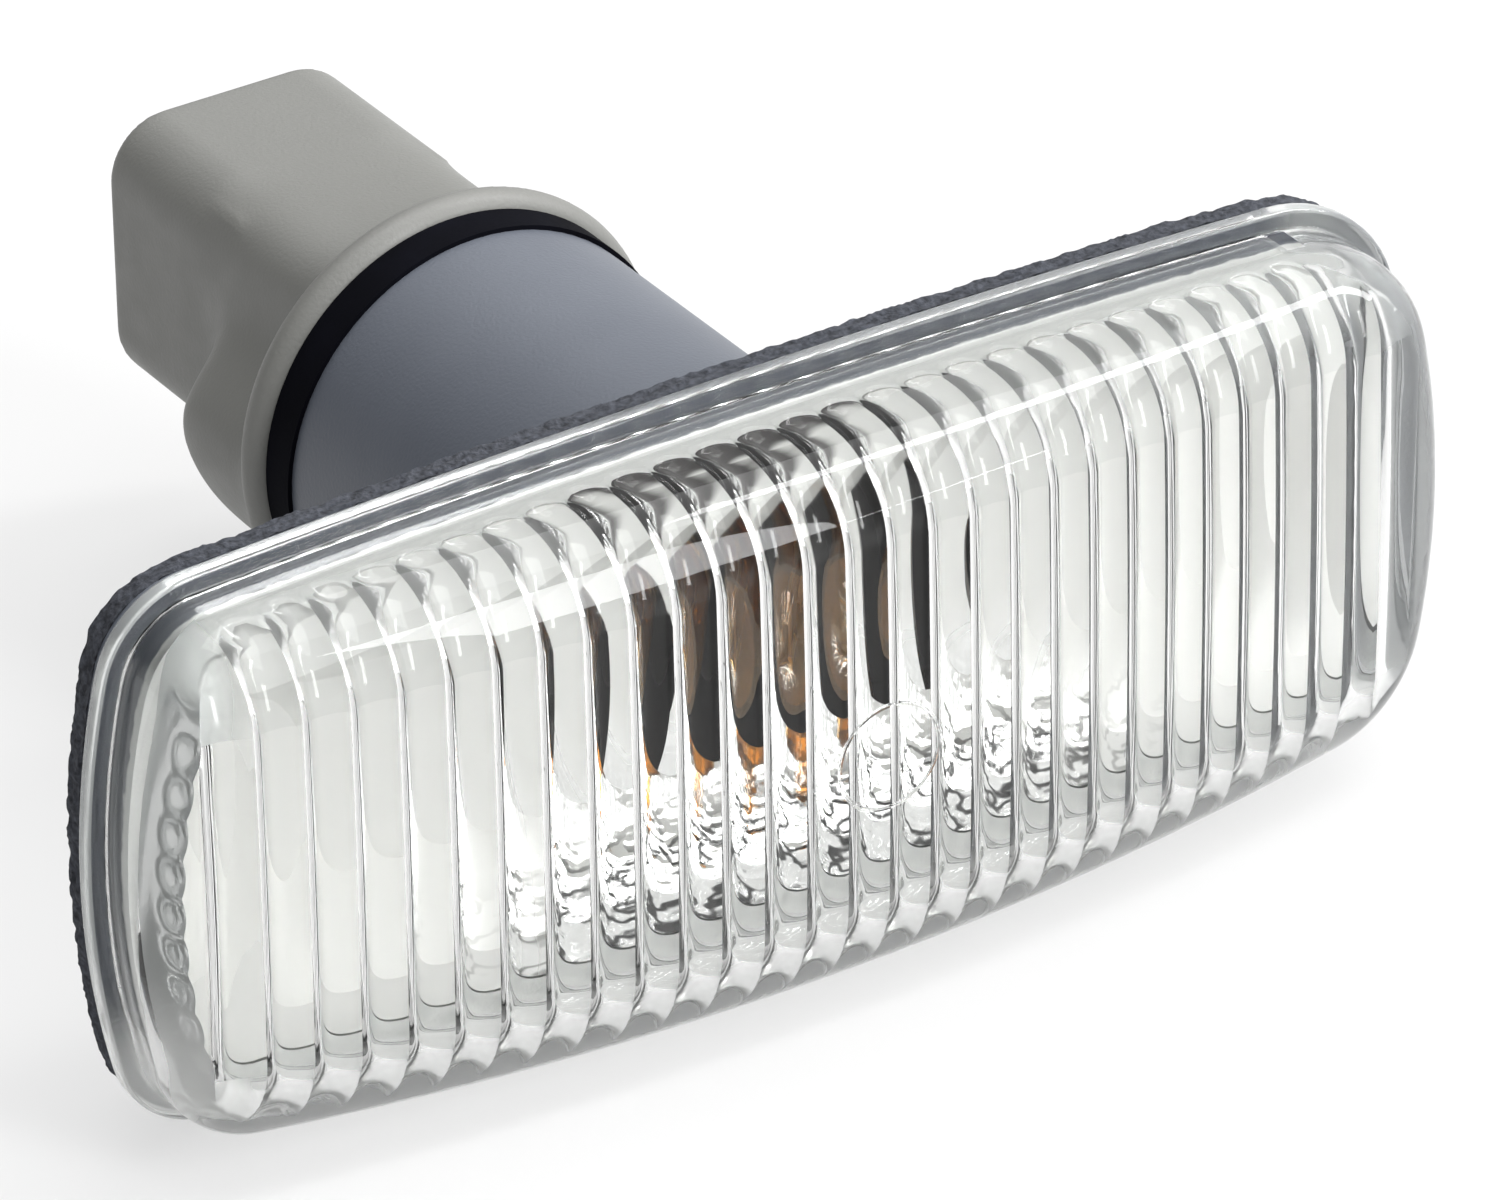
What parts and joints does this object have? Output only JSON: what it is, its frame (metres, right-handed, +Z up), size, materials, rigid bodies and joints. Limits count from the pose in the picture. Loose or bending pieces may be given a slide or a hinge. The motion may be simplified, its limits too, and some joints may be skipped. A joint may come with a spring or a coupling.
{
  "type": "side repeater lamp",
  "caption": "Side repeater lamp with a clear fluted lens, foam gasket, grey housing with a round bulb neck, and a push-in holder carrying an amber wedge bulb and an open connector socket.",
  "frame": {"origin": "on the axis of the bulb neck, in the plane of the gasket face that lies against the body panel", "axes": "+X along the lens, +Y into the vehicle along the bulb neck, +Z up; the lens faces -Y"},
  "size_m": [0.095, 0.0755, 0.039],
  "materials": {
    "clear_lens": "clear moulded plastic, glossy outside, fluted inside",
    "slate_plastic": "slate grey moulded plastic, fine matte",
    "bright_reflector": "bright metallised plastic",
    "black_foam": "charcoal closed-cell foam with a rough cut edge",
    "black_rubber": "black soft rubber",
    "warm_grey_plastic": "warm grey moulded plastic, satin",
    "contact_brass": "stamped brass",
    "amber_glass": "amber tinted glass",
    "lead_wire": "bare wire",
    "filament_wire": "dark coiled wire"
  },
  "bodies": {
    "root": {"lens": "clear_lens", "housing": "slate_plastic", "reflector": "bright_reflector", "gasket": "black_foam", "seal": "black_rubber", "holder": "warm_grey_plastic", "contact_left": "contact_brass", "contact_right": "contact_brass", "bulb_glass": "amber_glass", "lead_upper": "lead_wire", "lead_lower": "lead_wire", "filament": "filament_wire"}
  },
  "joints": []
}
